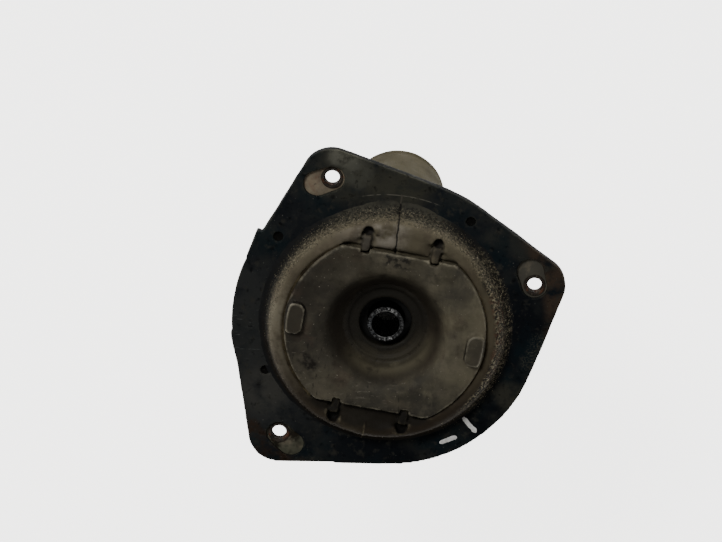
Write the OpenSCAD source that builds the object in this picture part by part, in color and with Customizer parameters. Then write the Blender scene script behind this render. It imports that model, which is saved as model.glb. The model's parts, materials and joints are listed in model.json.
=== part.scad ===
// Strut top mount: a three-lobed plate with a bonded rubber centre, a rebound stop disc with its nut well,
// a thrust ball bearing with the spring seat, a bump stop and a dust boot.
// Millimetres. Z is the strut axis, and z = 0 is the face that meets the tower.

/* [Plate] */
// Radius of the round middle of the plate, over the skin
plate_r = 80; // [78:0.5:86]
// Radius of the lobe round each bolt
lobe_r = 16; // [14:0.5:18]
// Thickness of the pressed steel
plate_t = 3; // [2:0.1:4]
// Thickness of the skin on the top face
skin_t = 2; // [1.4:0.1:3]
// Thickness of the skin round the edge
skin_edge = 1.5; // [1:0.1:2.5]

/* [Bolts] */
// Distance of the first bolt from the strut axis
bolt_r1 = 83.7; // [80:0.1:88]
// Direction of the first bolt, in degrees
bolt_a1 = 109; // [100:0.1:118]
// Distance of the second bolt from the strut axis
bolt_r2 = 79.7; // [78:0.1:88]
// Direction of the second bolt, in degrees
bolt_a2 = 15.9; // [8:0.1:24]
// Distance of the third bolt from the strut axis
bolt_r3 = 84.5; // [80:0.1:88]
// Direction of the third bolt, in degrees
bolt_a3 = 228.2; // [220:0.1:236]
// Wall radius of the threaded bore
thread_r = 4.2; // [3.3:0.1:4.3]
// Height of each nut below the plate
nut_h = 2.4; // [2:0.1:6]

/* [Stop disc] */
// Radius of the stop disc
disc_r = 52; // [49:0.5:52.5]
// Half the width across the two flats
disc_flat = 43; // [40:0.5:45]
// Height of the disc face above the plate face
disc_z = 12.5; // [10:0.5:14]
// Thickness of the disc
disc_t = 3.2; // [2.5:0.1:4]
// Direction of the two pads, in degrees
disc_turn = -10.5; // [-30:0.5:30]
// Height of the two pads above the disc face
pad_h = 3.5; // [2:0.1:5]

/* [Nut well] */
// Radius at which the disc starts to turn down into the well
well_mouth_r = 36; // [34:0.5:37]
// Angle of the well wall against the disc face, in degrees
well_deg = 54; // [50:1:58]
// Height of the well floor
well_floor_z = -3; // [-4:0.1:-2]
// Radius of the hole in the well floor
well_hole_r = 13.6; // [12:0.1:15]

/* [Sleeve] */
// Radius of the bore for the strut rod
rod_bore_r = 7.25; // [6:0.05:8.25]
// Wall thickness of the sleeve
sleeve_wall = 2.25; // [1.8:0.05:3]
// Length of the sleeve
sleeve_l = 24; // [22:0.5:24]

/* [Bearing] */
// Pitch radius of the balls
pitch_r = 50; // [48:0.5:51]
// Radius of each ball
ball_r = 3; // [2.5:0.1:3.2]
// Number of balls
ball_count = 24; // [18:1:30]

/* [Bump stop] */
// Radius of the bore for the rod in the bump stop
bump_bore_r = 11.3; // [10:0.1:12]
// Radius of the body of the bump stop
bump_r = 24; // [22:0.5:24.5]
// Free length of the bump stop below the hub
bump_l = 52; // [40:1:70]

/* [Boot] */
// Length from the plate face to the open end of the boot
boot_length = 204; // [190:1:230]
// Outer radius of the cuff
cuff_r = 26.8; // [26:0.1:29]
// Length of the smooth cuff
cuff_l = 72; // [60:1:80]
// Number of folds
fold_count = 7; // [5:1:10]
// Wall thickness of the boot
boot_wall = 1.6; // [1.2:0.1:2]

/* [Hidden] */
$fn = 96;
eps = 0.5;
tall = 60;
web_in = 0.02;

// Bolt positions in the plate
bolts = [polar(bolt_r1, bolt_a1), polar(bolt_r2, bolt_a2), polar(bolt_r3, bolt_a3)];
bolt_deg = [bolt_a1, bolt_a2, bolt_a3];

// Plate and skin levels
steel_top = -skin_t;
steel_bottom = steel_top - plate_t;

// Threaded collar that shows in each keyhole opening
nut_wall = 1.4;
nut_collar_r = thread_r + nut_wall;
nut_proud = 0.5;
nut_flange_r = nut_collar_r + 3.3;
nut_flange_t = 1.2;
nut_hex_r = nut_collar_r + 2.3;

// Keyhole opening: a round one at the bolt and a wider one beside it
key_gap = 0.8;
key_shift = 8.2;
key_r = 6.8;

// Pin holes left in the skin by the mould, as [radius, direction]
pin_r = 2.5;
pins = [[71.6, 52.5], [72.8, 139.3], [68.4, 203]];

// Room left for the bonding film, and round the lip of the rubber
bond_t = 0.06;
skin_gap = 0.2;

// Lugs on the rim of the skin
lug_from = 142;
lug_to = 153.5;
lug_proud = 3.4;
lug_end = 0.6;
rim_lug_from = 184;
rim_lug_to = 196;
rim_lug_proud = 0.8;
lug_root = 0.9;

// Rubber ring round the disc
disc_gap = 0.8;
ring_r = disc_r + disc_gap;
crest_r = ring_r + 2.2;
crest_drop = 0.8;
crest_z = disc_z - crest_drop;
crest_round = 6;
crest_inner_round = 2.4;
crest_end_deg = 20;
crest_inner_from = 110;
crest_inner_to = 156;
stop_travel = 3.3;
ledge_z = disc_z - disc_t - stop_travel;
foot_z = 0.6;
lip_w = 1.6;
crest_mid = [crest_r, crest_z - crest_round];
crest_inner_mid = [crest_r, crest_z - crest_inner_round];
crest_end = crest_mid + polar(crest_round, crest_end_deg);
foot_r = crest_end[0] + (crest_end[1] - foot_z) * tan(crest_end_deg);
lip_r = foot_r + lip_w;

// Drawn collar of the plate inside the rubber ring
collar_t = 3;
collar_in_r = ring_r + 2.7;
collar_out_r = collar_in_r + collar_t;
collar_drop = 6.2;
collar_top = crest_z - collar_drop;

// Rubber bead under the plate, on which the bearing sits
bead_h = 3;
bead_r = collar_out_r + 3;
seat_z = steel_bottom - bead_h;

// Cup of the core
sleeve_r = rod_bore_r + sleeve_wall;
core_t = 3;
core_drop = 1;
core_top = seat_z - core_drop;
core_r = 33;
core_rim = 6;
core_bottom = core_top - core_t - core_rim;
skirt_w = 3;
skirt_lift = 2;

// Nut well
well_round = 7;
well_run = 1 / tan(well_deg);
well_mid = [well_mouth_r, disc_z - well_round];
well_end = well_mid + polar(well_round, 90 + well_deg);
well_floor_r = well_end[0] - (well_end[1] - well_floor_z) * well_run;
under_r = well_end[0] + disc_t * sin(well_deg);
under_z = well_end[1] - disc_t * cos(well_deg);
well_foot_r = under_r - (under_z - core_top) * well_run;
well_under_r = under_r + (disc_z - disc_t - under_z) * well_run;
well_gap = 4.4;
ridge_r = 20.3;
ridge_w = 1.4;
ridge_foot = 2.4;
ridge_h = 1.3;
disc_edge = 0.8;

// Pads and notches of the disc, ribs and pockets of the rubber
pad_l = 9.5;
pad_w = 17;
pad_cut = 2.5;
pad_r = disc_r - pad_l / 2;
rib_x = 18;
rib_w = 4;
rib_h = 3.9;
rib_clear = 0.5;
notch_d = 2.5;
pocket_r = 2.6;
pocket_y = ring_r - 0.3;
pocket_floor = 0.7;

// Rubber blocks between the flats and the ring, with a channel round each rib
block_drop = 3.5;
block_z = crest_z - block_drop;
block_sink = 1;
channel_play = 1.5;
channel_w = rib_w + 2 * channel_play;
channel_floor = 0.2;

// Bearing levels, from the top down
ball_play = 0.2;
groove_d = ball_r * 0.47;
race_web = 1.2;
race_t = groove_d + ball_play + race_web;
race_half = ball_r + 1.5;
race_in_r = pitch_r - race_half;
race_out_r = pitch_r + race_half;
case_t = 3.8;
race_top_z = seat_z - case_t;
race_face_z = race_top_z - race_t;
race_space = 2 * (ball_r - groove_d);
ball_z = race_face_z - race_space / 2;
low_face_z = race_face_z - race_space;
low_seat_z = low_face_z - race_t;
cage_half = 1;
pocket_play = 0.2;

// Bearing cases and their snap
land_w = 2;
low_wall = 3;
snap_play = 0.7;
snap_h = 1.2;
snap_grip = 1.4;
case_lift = 0.3;
low_wall_r = race_out_r + low_wall;
low_snap_r = low_wall_r + snap_grip;
low_snap_z = low_face_z - 0.7;
case_in_r = low_snap_r + snap_play;
case_wall = 3;
case_out_r = max(case_in_r + case_wall, bead_r + case_wall - land_w / 2);
top_snap_r = low_wall_r + snap_play;
top_snap_z = low_snap_z - snap_h - snap_play;
case_bottom = top_snap_z - snap_h;
case_bore_r = race_in_r - land_w - 5.5;
case_bore_wall = 2.3;
seal_gap = 0.3;
seal_h = 2.2;
seal_base = 1;
seat_top = case_bottom - seal_gap - seal_h;
seat_t = 3;
seat_bottom = seat_top - seat_t;
seat_r = case_out_r + 2;
low_bore_wall = 3;

// Hub of the lower case, which carries the bump stop and the boot
hub_in_r = bump_r + 2;
hub_wall = 3.5;
hub_r = hub_in_r + hub_wall;
hub_h = 11;
hub_bottom = seat_bottom - hub_h;
hub_lip_w = 2.5;
hub_lip_t = 2;
hub_bead = 0.9;
hub_bead_h = 3;
hub_bead_z = hub_bottom + 5.5;

// Stiffening ribs under the spring seat
seat_rib_count = 16;
seat_rib_t = 2.2;
seat_rib_h = 5;
seat_rib_gap = 1.2;

// Spring pad and its locating ring
ring_wall = 3;
ring_out_r = pitch_r - 6;
ring_h = 7;
pad_t = 3.5;
pad_lip = 1.6;
pad_lip_h = 1.5;
pad_guide = 3.5;
pad_guide_h = 3.5;

// Bump stop waists
bump_top = min(-sleeve_l - 1.5, seat_top - 1.5);
bump_head_r = hub_in_r - 0.2;
hub_lip_r = hub_in_r - hub_lip_w;
bump_neck_r = hub_lip_r - 2 * bond_t;
bump_waist_r = bump_r - 5;
bump_nose_r = bump_r - 7;
bump_end = hub_bottom - bump_l;
bump_step = bump_l / 8;
bump_cut = 2;
bump_dip = 3;
bump_marks = [1, 1.5, 2.2, 3.4, 4, 4.4, 5.2, 6.6, 7.4];

// Boot
boot_end = -boot_length;
cuff_top = boot_end + cuff_l;
fold_depth = 8.5;
fold_crest_r = cuff_r + fold_depth;
fold_pitch = (hub_bottom - cuff_top) / fold_count;
boot_collar_r = hub_r + boot_wall + 0.6;
boot_top = seat_bottom - 0.6;
fold_marks = [0.06, 0.4, 0.66, 0.94];
cuff_bead = 0.7;
cuff_bead_h = 4;

function polar(r, a) = [r * cos(a), r * sin(a)];

function arc(mid, r, from, to, steps) = [
    for (i = [0:steps]) mid + polar(r, from + (to - from) * i / steps)
];

function cross_deg(p, q) = atan2(q[1] - p[1], q[0] - p[0]);

// Four-cornered web between the outer tangents of two circles, a hair inside them
module web(p, a, q, b) {
    along = cross_deg(p, q);
    turn = acos((a - b) / norm(q - p));
    polygon([
        p + polar(a - web_in, along + turn),
        q + polar(b - web_in, along + turn),
        q + polar(b - web_in, along - turn),
        p + polar(a - web_in, along - turn)
    ]);
}

// Outline of the plate, drawn in by the inset
module plate_outline(inset = 0) {
    circle(r = plate_r - inset, $fn = 180);
    for (p = bolts) {
        translate(p)
            circle(r = lobe_r - inset);
        web([0, 0], plate_r - inset, p, lobe_r - inset);
    }
}

// Moulded lugs on the edge of the skin
module rim_lugs() {
    polygon([
        polar(plate_r * lug_root, lug_from),
        polar(plate_r + lug_proud, lug_from),
        polar(plate_r + lug_end, lug_to),
        polar(plate_r * lug_root, lug_to)
    ]);
    intersection() {
        circle(r = plate_r + rim_lug_proud, $fn = 180);
        polygon([
            polar(plate_r * lug_root, rim_lug_from),
            polar(plate_r * (2 - lug_root), rim_lug_from),
            polar(plate_r * (2 - lug_root), rim_lug_to),
            polar(plate_r * lug_root, rim_lug_to)
        ]);
    }
}

// Keyhole opening beside one bolt
module keyhole(i) {
    side = bolts[i] + polar(key_shift, bolt_deg[i] + 90);
    translate(bolts[i])
        circle(r = nut_collar_r + key_gap);
    translate(side)
        circle(r = key_r);
    web(side, key_r, bolts[i], nut_collar_r + key_gap);
}

module mount_plate() {
    color("#6b5a4c")
        difference() {
            union() {
                translate([0, 0, steel_bottom])
                    linear_extrude(plate_t)
                        plate_outline(skin_edge);
                translate([0, 0, steel_bottom])
                    cylinder(r = collar_out_r, h = collar_top - steel_bottom);
            }
            translate([0, 0, -tall / 2])
                cylinder(r = collar_in_r, h = tall);
            for (p = bolts)
                translate([p[0], p[1], -tall / 2])
                    cylinder(r = nut_collar_r, h = tall);
        }
}

module plate_cover() {
    color("#1c1f21")
        difference() {
            translate([0, 0, steel_bottom])
                union() {
                    linear_extrude(-steel_bottom)
                        plate_outline();
                    linear_extrude(-steel_bottom)
                        rim_lugs();
                }
            translate([0, 0, steel_bottom - eps])
                linear_extrude(plate_t + eps)
                    plate_outline(skin_edge);
            translate([0, 0, -tall / 2])
                cylinder(r = lip_r + skin_gap, h = tall);
            for (i = [0:2])
                translate([0, 0, -tall / 2])
                    linear_extrude(tall)
                        keyhole(i);
            for (p = pins)
                rotate([0, 0, p[1]])
                    translate([p[0], 0, -tall / 2])
                        cylinder(r = pin_r, h = tall);
        }
}

module weld_nut(i) {
    color("#57514a")
        translate([bolts[i][0], bolts[i][1], steel_bottom])
            difference() {
                union() {
                    cylinder(r = nut_collar_r, h = plate_t + nut_proud);
                    translate([0, 0, -nut_flange_t])
                        cylinder(r = nut_flange_r, h = nut_flange_t);
                    translate([0, 0, -nut_h])
                        rotate([0, 0, bolt_deg[i]])
                            cylinder(r = nut_hex_r, h = nut_h - nut_flange_t / 2, $fn = 6);
                }
                translate([0, 0, -tall / 2])
                    cylinder(r = thread_r, h = tall);
            }
}

// Half section of the rubber: lip, dome, ledge, inner cone, core, underside and collar slot
module isolator_section() {
    cone_foot_r = well_foot_r + well_gap;
    cone_top_r = cone_foot_r + (ledge_z - core_top) * well_run;
    polygon(concat(
        [[lip_r, steel_top], [lip_r, foot_z], [foot_r, foot_z]],
        arc(crest_mid, crest_round, crest_end_deg, 90, 8),
        arc(crest_inner_mid, crest_inner_round, crest_inner_from, crest_inner_to, 4),
        [
            [ring_r, ledge_z],
            [cone_top_r, ledge_z],
            [cone_foot_r, core_top],
            [core_r + bond_t, core_top],
            [core_r + bond_t, core_bottom],
            [core_r + skirt_w, core_bottom + skirt_lift],
            [core_r + skirt_w, seat_z],
            [bead_r, seat_z],
            [bead_r, steel_bottom],
            [collar_in_r - bond_t, steel_bottom],
            [collar_in_r - bond_t, collar_top + bond_t],
            [collar_out_r + bond_t, collar_top + bond_t],
            [collar_out_r + bond_t, steel_top]
        ]
    ));
}

// Rubber beside the two flats of the disc
module flat_blocks() {
    intersection() {
        translate([0, 0, ledge_z - eps])
            cylinder(r = ring_r + block_sink, h = block_z - ledge_z + eps);
        for (side = [0, 180])
            rotate([0, 0, side])
                translate([-disc_r, disc_flat + disc_gap, -tall / 2])
                    cube([2 * disc_r, disc_r, tall]);
    }
}

module isolator() {
    rib_from = disc_flat - notch_d + rib_clear;
    color("#5b5446")
        rotate([0, 0, disc_turn])
            difference() {
                union() {
                    difference() {
                        union() {
                            rotate_extrude()
                                isolator_section();
                            flat_blocks();
                        }
                        for (x = [-rib_x, rib_x])
                            for (side = [0, 180])
                                rotate([0, 0, side])
                                    translate([x - channel_w / 2, disc_flat, ledge_z + channel_floor])
                                        cube([channel_w, pocket_y - disc_flat, tall]);
                    }
                    for (x = [-rib_x, rib_x])
                        for (side = [0, 180])
                            rotate([0, 0, side])
                                translate([x - rib_w / 2, rib_from, ledge_z - eps])
                                    cube([rib_w, pocket_y - rib_from, rib_h + eps]);
                }
                for (x = [-rib_x, rib_x])
                    for (y = [-pocket_y, pocket_y])
                        translate([x, y, collar_top + pocket_floor])
                            cylinder(r = pocket_r, h = tall);
            }
}

module core_cup() {
    rim_in_r = core_r - core_t;
    color("#77736d")
        rotate_extrude()
            polygon([
                [sleeve_r, core_top - core_t],
                [rim_in_r, core_top - core_t],
                [rim_in_r, core_bottom],
                [core_r, core_bottom],
                [core_r, core_top],
                [sleeve_r, core_top]
            ]);
}

// Half section of the disc and the nut well
module disc_section() {
    polygon(concat(
        [
            [disc_r, disc_z - disc_t],
            [disc_r, disc_z - disc_edge],
            [disc_r - disc_edge, disc_z]
        ],
        arc(well_mid, well_round, 90, 90 + well_deg, 7),
        [
            [well_floor_r, well_floor_z],
            [ridge_r + ridge_foot / 2, well_floor_z],
            [ridge_r + ridge_w / 2, well_floor_z + ridge_h],
            [ridge_r - ridge_w / 2, well_floor_z + ridge_h],
            [ridge_r - ridge_foot / 2, well_floor_z],
            [well_hole_r, well_floor_z],
            [well_hole_r, core_top],
            [well_foot_r, core_top],
            [well_under_r, disc_z - disc_t]
        ]
    ));
}

// Raised pad with cut corners
module disc_pad() {
    x = pad_l / 2;
    y = pad_w / 2;
    polygon([
        [-x, -y + pad_cut],
        [-x + pad_cut, -y],
        [x - pad_cut, -y],
        [x, -y + pad_cut],
        [x, y - pad_cut],
        [x - pad_cut, y],
        [-x + pad_cut, y],
        [-x, y - pad_cut]
    ]);
}

module stop_disc() {
    notch_w = rib_w + 2 * rib_clear;
    color("#47423a")
        rotate([0, 0, disc_turn])
            difference() {
                union() {
                    rotate_extrude()
                        disc_section();
                    intersection() {
                        for (side = [0, 180])
                            rotate([0, 0, side])
                                translate([pad_r, 0, disc_z - eps])
                                    linear_extrude(pad_h + eps)
                                        disc_pad();
                        cylinder(r = disc_r - disc_edge, h = tall);
                    }
                }
                for (side = [0, 180])
                    rotate([0, 0, side]) {
                        translate([-disc_r, disc_flat, -tall / 2])
                            cube([2 * disc_r, disc_r, tall]);
                        for (x = [-rib_x, rib_x])
                            translate([x - notch_w / 2, disc_flat - notch_d, -tall / 2])
                                cube([notch_w, disc_r, tall]);
                    }
            }
}

module inner_sleeve() {
    color("#9a958c")
        translate([0, 0, -sleeve_l])
            difference() {
                cylinder(r = sleeve_r, h = sleeve_l);
                translate([0, 0, -eps])
                    cylinder(r = rod_bore_r, h = sleeve_l + 2 * eps);
            }
}

// Half section of the upper case, with the grip for the bead, the lands for the race and the snap
module top_case_section() {
    polygon([
        [case_bore_r, seat_z],
        [bead_r + bond_t, seat_z],
        [bead_r + bond_t, steel_bottom - case_lift],
        [case_out_r, steel_bottom - case_lift],
        [case_out_r, case_bottom],
        [top_snap_r, case_bottom],
        [top_snap_r, top_snap_z],
        [case_in_r, top_snap_z],
        [case_in_r, race_top_z],
        [race_out_r + land_w, race_top_z],
        [race_out_r + land_w, race_face_z],
        [race_out_r, race_face_z],
        [race_out_r, race_top_z],
        [race_in_r, race_top_z],
        [race_in_r, race_face_z],
        [race_in_r - land_w, race_face_z],
        [race_in_r - land_w, race_top_z],
        [case_bore_r + case_bore_wall, race_top_z],
        [case_bore_r + case_bore_wall, case_bottom],
        [case_bore_r, case_bottom]
    ]);
}

module bearing_top_case() {
    color("#26282a")
        rotate_extrude()
            top_case_section();
}

// Grooved ring whose flat back lies at the given level
module race(back_z, face_z) {
    low = min(back_z, face_z);
    rotate_extrude()
        difference() {
            translate([race_in_r, low])
                square([race_out_r - race_in_r, race_t]);
            translate([pitch_r, ball_z])
                circle(r = ball_r + ball_play);
        }
}

module top_race() {
    color("#b4b0a8")
        race(race_top_z, race_face_z);
}

module bottom_race() {
    color("#b4b0a8")
        race(low_seat_z, low_face_z);
}

module ball_cage() {
    color("#d9d2bd")
        difference() {
            translate([0, 0, ball_z - cage_half])
                rotate_extrude()
                    translate([race_in_r, 0])
                        square([race_out_r - race_in_r, 2 * cage_half]);
            for (i = [1:ball_count])
                rotate([0, 0, i * 360 / ball_count])
                    translate([pitch_r, 0, ball_z - tall / 2])
                        cylinder(r = ball_r + pocket_play, h = tall);
        }
}

module balls() {
    color("#c9c9c6")
        for (i = [1:ball_count])
            rotate([0, 0, i * 360 / ball_count])
                translate([pitch_r, 0, ball_z])
                    sphere(r = ball_r);
}

// Half section of the lower case: hub, spring seat, snap and race seat
module bottom_case_section() {
    polygon([
        [hub_lip_r, hub_bottom],
        [hub_r, hub_bottom],
        [hub_r, hub_bead_z - hub_bead_h],
        [hub_r + hub_bead, hub_bead_z - hub_bead_h + hub_bead],
        [hub_r + hub_bead, hub_bead_z - hub_bead],
        [hub_r, hub_bead_z],
        [hub_r, seat_bottom],
        [ring_out_r - ring_wall, seat_bottom],
        [ring_out_r - ring_wall, seat_bottom - ring_h],
        [ring_out_r, seat_bottom - ring_h],
        [ring_out_r, seat_bottom],
        [seat_r, seat_bottom],
        [seat_r, seat_top],
        [low_wall_r, seat_top],
        [low_wall_r, low_snap_z - snap_h],
        [low_snap_r, low_snap_z - snap_h],
        [low_snap_r, low_snap_z - snap_h / 2],
        [low_wall_r, low_face_z],
        [race_out_r, low_face_z],
        [race_out_r, low_seat_z],
        [race_in_r, low_seat_z],
        [race_in_r, low_face_z],
        [race_in_r - low_bore_wall, low_face_z],
        [race_in_r - low_bore_wall, seat_top],
        [hub_in_r, seat_top],
        [hub_in_r, hub_bottom + hub_lip_t],
        [hub_lip_r, hub_bottom + hub_lip_t]
    ]);
}

module bearing_bottom_case() {
    rib_from_r = boot_collar_r + seat_rib_gap;
    rib_to_r = ring_out_r - ring_wall / 2;
    color("#2b2d2f") {
        rotate_extrude()
            bottom_case_section();
        for (i = [1:seat_rib_count])
            rotate([0, 0, i * 360 / seat_rib_count])
                translate([rib_from_r, -seat_rib_t / 2, seat_bottom - seat_rib_h])
                    cube([rib_to_r - rib_from_r, seat_rib_t, seat_rib_h + eps]);
    }
}

module inner_seal() {
    root_r = case_bore_r;
    tip = seat_top + seal_h;
    color("#303030")
        rotate_extrude()
            polygon([
                [root_r, seat_top],
                [root_r + 3 * seal_base, seat_top],
                [root_r + 3 * seal_base, seat_top + seal_base],
                [root_r + 2 * seal_base, seat_top + seal_base],
                [root_r + 2 * seal_base, tip],
                [root_r + seal_base, tip],
                [root_r, seat_top + seal_base]
            ]);
}

module outer_seal() {
    root_r = low_wall_r + seal_base;
    tip = seat_top + seal_h;
    color("#303030")
        rotate_extrude()
            polygon([
                [root_r, seat_top],
                [case_out_r, seat_top],
                [case_out_r, seat_top + seal_base],
                [case_out_r - seal_base, tip],
                [case_out_r - 2 * seal_base, tip],
                [case_out_r - 2 * seal_base, seat_top + seal_base],
                [root_r, seat_top + seal_base]
            ]);
}

module spring_pad() {
    face_z = seat_bottom - pad_t;
    color("#2f2f2e")
        rotate_extrude()
            polygon([
                [ring_out_r, seat_bottom],
                [ring_out_r, face_z - pad_guide_h],
                [ring_out_r + pad_guide, face_z - pad_guide_h],
                [ring_out_r + pad_guide, face_z],
                [seat_r - pad_lip, face_z],
                [seat_r - pad_lip, face_z - pad_lip_h],
                [seat_r, face_z - pad_lip_h],
                [seat_r, seat_bottom]
            ]);
}

module bump_stop() {
    lip_top = hub_bottom + hub_lip_t;
    color("#c7b98f")
        rotate_extrude()
            polygon([
                [bump_bore_r, bump_top],
                [bump_bore_r, bump_end],
                [bump_nose_r - bump_cut, bump_end],
                [bump_nose_r, bump_end + bump_cut],
                [bump_nose_r, bump_end + bump_marks[0] * bump_step],
                [bump_waist_r - bump_dip, bump_end + bump_marks[1] * bump_step],
                [bump_r - bump_dip, bump_end + bump_marks[2] * bump_step],
                [bump_r - bump_dip, bump_end + bump_marks[3] * bump_step],
                [bump_waist_r, bump_end + bump_marks[4] * bump_step],
                [bump_waist_r, bump_end + bump_marks[5] * bump_step],
                [bump_r, bump_end + bump_marks[6] * bump_step],
                [bump_r, bump_end + bump_marks[7] * bump_step],
                [bump_neck_r - bump_cut / 2, bump_end + bump_marks[8] * bump_step],
                [bump_neck_r, hub_bottom],
                [bump_neck_r, lip_top],
                [bump_head_r, lip_top],
                [bump_head_r, bump_top]
            ]);
}

// Outer line of the folds, as four points to a fold
function fold_points(inset) = [
    for (i = [0:fold_count - 1])
        for (k = [0:3]) [
            ((k == 1 || k == 2) ? fold_crest_r : cuff_r) - inset,
            hub_bottom - (i + fold_marks[k]) * fold_pitch
        ]
];

function reversed(list) = [for (i = [len(list) - 1:-1:0]) list[i]];

module dust_boot() {
    color("#6a614e")
        rotate_extrude()
            polygon(concat(
                [
                    [hub_r, boot_top],
                    [boot_collar_r, boot_top],
                    [boot_collar_r, hub_bottom]
                ],
                fold_points(0),
                [
                    [cuff_r, boot_end + cuff_bead_h],
                    [cuff_r + cuff_bead, boot_end + cuff_bead_h - cuff_bead],
                    [cuff_r + cuff_bead, boot_end],
                    [cuff_r - boot_wall, boot_end]
                ],
                reversed(fold_points(boot_wall)),
                [
                    [cuff_r - boot_wall, hub_bottom],
                    [hub_r, hub_bottom],
                    [hub_r, hub_bead_z - hub_bead_h],
                    [hub_r + hub_bead, hub_bead_z - hub_bead_h + hub_bead],
                    [hub_r + hub_bead, hub_bead_z - hub_bead],
                    [hub_r, hub_bead_z]
                ]
            ));
}

mount_plate();
plate_cover();
weld_nut(0);  // weld_nut_1
weld_nut(1);  // weld_nut_2
weld_nut(2);  // weld_nut_3
isolator();
core_cup();
stop_disc();
inner_sleeve();
bearing_top_case();
top_race();
ball_cage();
balls();
bottom_race();
bearing_bottom_case();
inner_seal();
outer_seal();
spring_pad();
bump_stop();
dust_boot();
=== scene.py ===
import bpy
import bmesh
import json
import math
import random
import numpy as np
from mathutils import Matrix, Vector, noise
from mathutils.bvhtree import BVHTree


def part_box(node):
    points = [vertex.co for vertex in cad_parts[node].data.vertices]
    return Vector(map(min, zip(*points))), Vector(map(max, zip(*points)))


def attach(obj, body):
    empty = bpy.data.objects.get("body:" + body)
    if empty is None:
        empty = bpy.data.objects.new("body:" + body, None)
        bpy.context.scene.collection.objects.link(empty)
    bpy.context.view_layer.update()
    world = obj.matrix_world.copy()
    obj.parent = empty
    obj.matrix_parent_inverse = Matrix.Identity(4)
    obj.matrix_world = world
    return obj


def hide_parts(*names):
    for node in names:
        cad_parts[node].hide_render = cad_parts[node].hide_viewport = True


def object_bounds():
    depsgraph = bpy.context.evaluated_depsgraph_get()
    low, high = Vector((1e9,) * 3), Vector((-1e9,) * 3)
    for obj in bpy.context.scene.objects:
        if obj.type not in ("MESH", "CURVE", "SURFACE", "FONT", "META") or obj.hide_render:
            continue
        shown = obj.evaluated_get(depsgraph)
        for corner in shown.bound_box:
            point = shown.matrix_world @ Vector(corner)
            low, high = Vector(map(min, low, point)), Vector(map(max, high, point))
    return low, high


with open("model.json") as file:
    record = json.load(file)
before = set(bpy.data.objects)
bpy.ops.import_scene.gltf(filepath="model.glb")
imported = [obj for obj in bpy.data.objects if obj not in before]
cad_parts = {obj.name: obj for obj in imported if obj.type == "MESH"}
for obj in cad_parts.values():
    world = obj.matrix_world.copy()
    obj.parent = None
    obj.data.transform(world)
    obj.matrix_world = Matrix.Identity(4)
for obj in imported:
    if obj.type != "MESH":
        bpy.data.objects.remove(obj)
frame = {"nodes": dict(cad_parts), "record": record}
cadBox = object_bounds()
print("frame loaded:", len(frame["nodes"]), "nodes")

mm = 0.001
vectorMath = "ShaderNodeVectorMath"
plainMath = "ShaderNodeMath"
mapRange = "ShaderNodeMapRange"
noiseTexture = "ShaderNodeTexNoise"


def hexToLinear(code):
    values = [int(code[i:i + 2], 16) / 255 for i in (1, 3, 5)]
    return [v / 12.92 if v <= 0.04045 else ((v + 0.055) / 1.055) ** 2.4 for v in values] + [1.0]


# adds a node and gives back one of its outputs
# settings are attributes or socket values, feeds are links into sockets, stops are a ramp's colours
def addNode(tree, kind, output, settings=None, feeds=None, stops=None):
    made = tree.nodes.new(kind)
    for key, value in (settings or {}).items():
        if isinstance(key, str) and hasattr(made, key):
            setattr(made, key, value)
        else:
            made.inputs[key].default_value = value
    for key, source in (feeds or {}).items():
        tree.links.new(source, made.inputs[key])
    if stops:
        ramp = made.color_ramp.elements
        while len(ramp) < len(stops):
            ramp.new(0.5)
        for mark, (place, colour) in zip(ramp, stops):
            mark.position = place
            mark.color = colour
    return made.outputs[output]


# camera, matched to the photograph: 22 degrees off the strut axis, with its up side towards +Y
cameraLook = {
    "toCamera": (0.032, 0.3732, 0.927),
    "up": (-0.01287, 0.9278, -0.3729),
    "distance": 1.5,
    "focalPx": 2895,
    "imagePx": (722, 542),
    "axisPx": (385.6, 324.2),  # where the strut axis meets the plate face
    "sensorMm": 36,
    "clipEnd": 50,
}


def placeCamera(look):
    toCamera = Vector(look["toCamera"]).normalized()
    up = Vector(look["up"])
    right = up.cross(toCamera).normalized()
    up = toCamera.cross(right).normalized()
    width, height = look["imagePx"]
    scale = look["distance"] / look["focalPx"]
    aim = right * (width / 2 - look["axisPx"][0]) * scale + up * (look["axisPx"][1] - height / 2) * scale
    place = toCamera * look["distance"]
    back = (place - aim).normalized()
    right = up.cross(back).normalized()
    up = back.cross(right).normalized()
    data = bpy.data.cameras.new("camera")
    data.sensor_width = look["sensorMm"]
    data.lens = look["sensorMm"] * look["focalPx"] / width
    data.clip_end = look["clipEnd"]
    made = bpy.data.objects.new("camera", data)
    turn = Matrix((right, up, back)).transposed().to_4x4()
    made.matrix_world = Matrix.Translation(place) @ turn
    bpy.context.scene.collection.objects.link(made)
    bpy.context.scene.camera = made


placeCamera(cameraLook)
print("camera placed")

# soft light from the photograph's top, with a pale floor
lightLook = {
    "key": {"place": (-0.55, 1.1, 1.25), "size": 0.55, "watts": 20},
    "top": {"place": (0.1, -0.1, 1.9), "size": 1.6, "watts": 3},
    "side": {"place": (1.4, -0.9, 0.9), "size": 1.0, "watts": 3},
}
roomLook = {"hex": "#f4f3f1", "strength": 0.14}


def placeLights(look, room):
    for name, part in look.items():
        data = bpy.data.lights.new(name, "AREA")
        data.shape = "DISK"
        data.size = part["size"]
        data.energy = part["watts"]
        made = bpy.data.objects.new(name, data)
        made.location = part["place"]
        made.rotation_euler = (-Vector(part["place"])).to_track_quat("-Z", "Y").to_euler()
        bpy.context.scene.collection.objects.link(made)
    world = bpy.data.worlds.new("softRoom")
    world.use_nodes = True
    glow = world.node_tree.nodes["Background"]
    glow.inputs["Color"].default_value = hexToLinear(room["hex"])
    glow.inputs["Strength"].default_value = room["strength"]
    bpy.context.scene.world = world


placeLights(lightLook, roomLook)

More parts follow.
